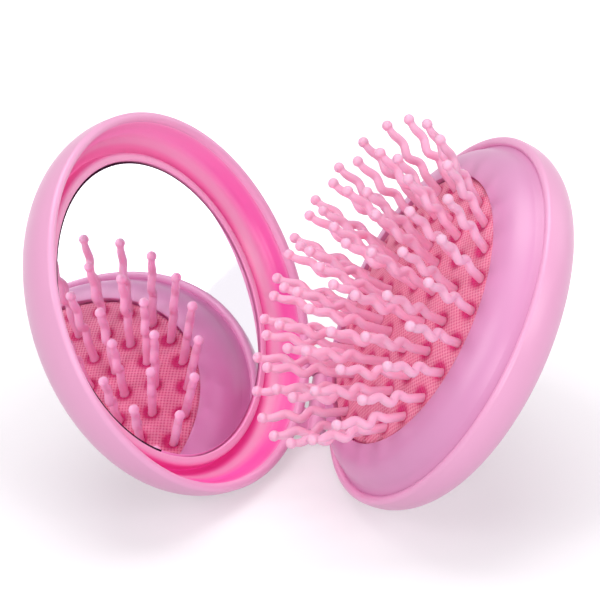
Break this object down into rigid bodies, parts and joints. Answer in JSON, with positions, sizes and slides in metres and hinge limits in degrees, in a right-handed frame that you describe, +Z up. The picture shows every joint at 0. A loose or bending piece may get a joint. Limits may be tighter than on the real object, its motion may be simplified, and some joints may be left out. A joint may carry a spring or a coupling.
{
  "type": "folding hairbrush with mirror",
  "caption": "Round folding compact hairbrush: a lid with a mirror hinged to a base whose bed of wavy ball-tipped pins slides in as it closes.",
  "frame": {"origin": "centre of the bottom of the bounding box, on the table that the open case stands on", "axes": "+X to the right across both halves, from the lid to the base; +Z up; the open V faces -Y"},
  "size_m": [0.117, 0.0847, 0.0828],
  "materials": {
    "shell": "gloss",
    "liner": "gloss",
    "mirror": "mirror",
    "foam": "matte",
    "seal": "matte",
    "rubber": "woven",
    "nylon": "satin",
    "steel": "satin"
  },
  "bodies": {
    "base": {"base_shell": "shell", "collar": "shell", "guide_sleeve": "liner", "sleeve_screws": "steel", "rubber_ring": "seal"},
    "lid": {"lid_shell": "shell", "lid_liner": "liner", "mirror_glass": "mirror", "mirror_tape": "foam", "hinge_pin": "steel"},
    "bed": {"bed_carrier": "liner", "thumb_button": "shell", "button_screw": "steel", "cushion": "rubber", "clamp_ring": "liner", "pin_middle": "nylon", "pins_ring_1": "nylon", "pins_ring_2": "nylon", "pins_ring_3": "nylon", "pins_ring_4": "nylon"}
  },
  "joints": [
    {"name": "lid_fold", "type": "hinge", "parent": "base", "child": "lid", "pos_m": [-0.00034, 0.0188, 0.00692], "axis": [0.0126, 0.8707, 0.4917], "range_deg": [0, 72], "deforming": ["cushion", "pin_middle", "pins_ring_1", "pins_ring_2", "pins_ring_3", "pins_ring_4"]},
    {"name": "bed_slide", "type": "slide", "parent": "base", "child": "bed", "axis": [0.7956, 0.2891, -0.5323], "range_m": [0, 0.00897]}
  ],
  "couplings": [
    {"joint": "bed_slide", "follows": "lid_fold", "m_per_rad": 0.0071389}
  ]
}
